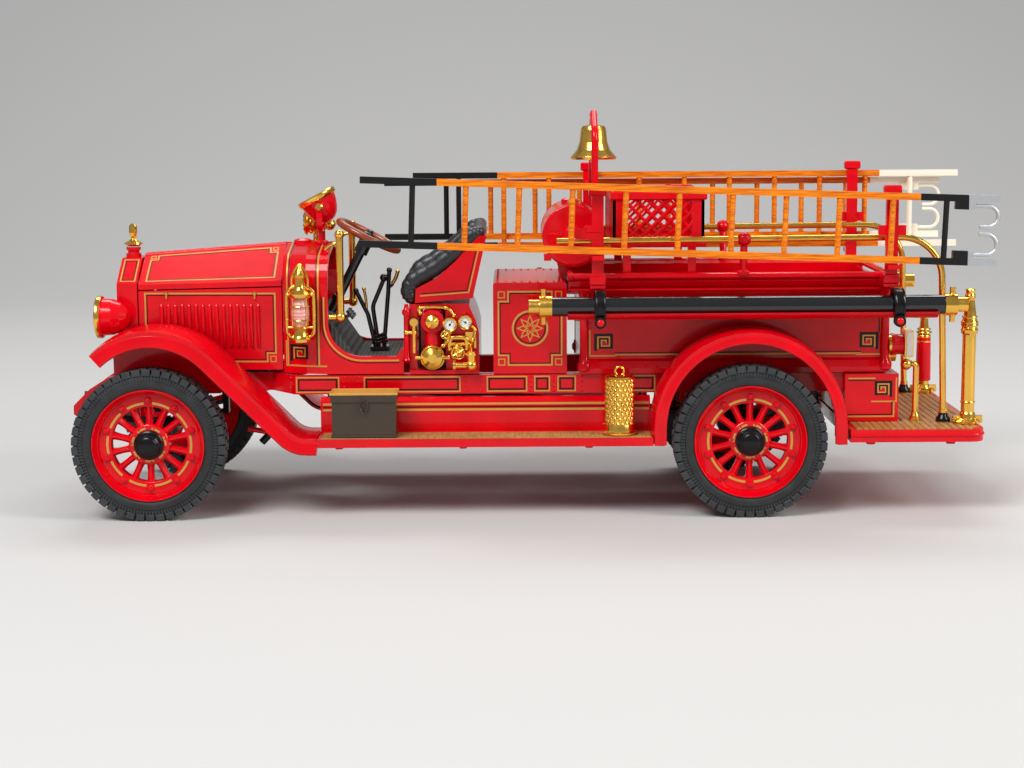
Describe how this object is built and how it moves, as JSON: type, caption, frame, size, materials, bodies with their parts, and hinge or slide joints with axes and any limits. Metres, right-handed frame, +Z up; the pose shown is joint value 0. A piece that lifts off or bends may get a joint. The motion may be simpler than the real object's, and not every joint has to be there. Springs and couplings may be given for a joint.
{
  "type": "scale model fire engine",
  "caption": "Scale model of an early motor fire engine with opening bonnet, steering front wheels, ladders, suction hoses, bell and open cab.",
  "frame": {"origin": "on the ground under the middle of the whole model's length and width", "axes": "+X towards the back step, -X the nose, -Y the driver's left side, +Z up"},
  "size_m": [0.2494, 0.0778, 0.1058],
  "materials": {
    "red_enamel": "gloss",
    "gold_plating": "polished",
    "black_paint": "satin",
    "tyre_rubber": "matte",
    "seat_black": "satin",
    "floor_grey": "matte",
    "ladder_orange": "gloss",
    "hose_charcoal": "satin",
    "column_black": "gloss",
    "wheel_brown": "satin",
    "box_olive": "satin",
    "engine_grey": "matte",
    "grille_dark": "satin"
  },
  "bodies": {
    "chassis": {"chassis_frame": "red_enamel", "leaf_springs": "black_paint", "front_axle": "black_paint", "rear_axle": "black_paint", "radiator_shell": "red_enamel", "radiator_core": "grille_dark", "radiator_cap": "gold_plating", "headlights": "gold_plating", "bonnet_sides": "red_enamel", "engine": "engine_grey", "cowl_body": "red_enamel", "cab_floor": "floor_grey", "steering_column": "column_black", "driver_controls": "column_black", "handrails": "gold_plating", "lanterns": "gold_plating", "cowl_lamps": "gold_plating", "seat_box": "red_enamel", "seat_shell": "red_enamel", "seat_cushion": "seat_black", "pump": "red_enamel", "pump_fittings": "gold_plating", "tank_box": "red_enamel", "hose_body": "red_enamel", "rear_locker": "red_enamel", "tailboard": "red_enamel", "running_boards": "red_enamel", "front_mudguards": "red_enamel", "rear_mudguards": "red_enamel", "reel_drum": "red_enamel", "hose_basket": "red_enamel", "grab_rails": "gold_plating", "ladder_brackets": "red_enamel", "bell": "gold_plating", "roof_ladder": "ladder_orange", "main_ladder": "ladder_orange", "fly_ladder": "ladder_orange", "suction_hoses": "hose_charcoal", "hose_couplings": "gold_plating", "hose_troughs": "red_enamel", "hose_straps": "black_paint", "playpipes": "gold_plating", "rear_fittings": "gold_plating", "strainer": "gold_plating", "toolbox": "box_olive"},
    "knuckle_left": {"knuckle_left": "black_paint"},
    "knuckle_right": {"knuckle_right": "black_paint"},
    "tie_rod": {"tie_rod": "black_paint"},
    "handwheel": {"steering_wheel": "wheel_brown"},
    "bonnet_lid_left": {"bonnet_left": "red_enamel"},
    "bonnet_lid_right": {"bonnet_right": "red_enamel"},
    "roller_front_left": {"wheel_front_left": "red_enamel", "tyre_front_left": "tyre_rubber"},
    "roller_front_right": {"wheel_front_right": "red_enamel", "tyre_front_right": "tyre_rubber"},
    "roller_rear_left": {"wheel_rear_left": "red_enamel", "tyre_rear_left": "tyre_rubber"},
    "roller_rear_right": {"wheel_rear_right": "red_enamel", "tyre_rear_right": "tyre_rubber"}
  },
  "joints": [
    {"name": "steer_left", "type": "hinge", "parent": "chassis", "child": "knuckle_left", "pos_m": [-0.1003, -0.026, 0.02], "axis": [0, 0, 1], "range_deg": [-25, 25]},
    {"name": "steer_right", "type": "hinge", "parent": "chassis", "child": "knuckle_right", "pos_m": [-0.1003, 0.026, 0.02], "axis": [0, 0, 1], "range_deg": [-25, 25]},
    {"name": "tie_rod_shift", "type": "slide", "parent": "chassis", "child": "tie_rod", "axis": [0, 1, 0], "range_m": [-0.004, 0.004]},
    {"name": "handwheel_turn", "type": "hinge", "parent": "chassis", "child": "handwheel", "pos_m": [-0.044, -0.0085, 0.0724], "axis": [0.454, 0, 0.891], "range_deg": [-75, 75]},
    {"name": "bonnet_open_left", "type": "hinge", "parent": "chassis", "child": "bonnet_lid_left", "pos_m": [-0.1059, -0.0016, 0.067], "axis": [-0.9974, 0, -0.0719], "range_deg": [0, 70]},
    {"name": "bonnet_open_right", "type": "hinge", "parent": "chassis", "child": "bonnet_lid_right", "pos_m": [-0.1059, 0.0016, 0.067], "axis": [0.9974, 0, 0.0719], "range_deg": [0, 70]},
    {"name": "roll_front_left", "type": "hinge", "parent": "knuckle_left", "child": "roller_front_left", "pos_m": [-0.1003, -0.033, 0.02], "axis": [0, 1, 0], "continuous": true},
    {"name": "roll_front_right", "type": "hinge", "parent": "knuckle_right", "child": "roller_front_right", "pos_m": [-0.1003, 0.033, 0.02], "axis": [0, 1, 0], "continuous": true},
    {"name": "roll_rear_left", "type": "hinge", "parent": "chassis", "child": "roller_rear_left", "pos_m": [0.0567, -0.033, 0.02], "axis": [0, 1, 0], "continuous": true},
    {"name": "roll_rear_right", "type": "hinge", "parent": "chassis", "child": "roller_rear_right", "pos_m": [0.0567, 0.033, 0.02], "axis": [0, 1, 0], "continuous": true}
  ],
  "couplings": [
    {"joint": "steer_right", "follows": "steer_left", "ratio": 1},
    {"joint": "tie_rod_shift", "follows": "steer_left", "m_per_rad": 0.009},
    {"joint": "handwheel_turn", "follows": "steer_left", "ratio": 3}
  ]
}
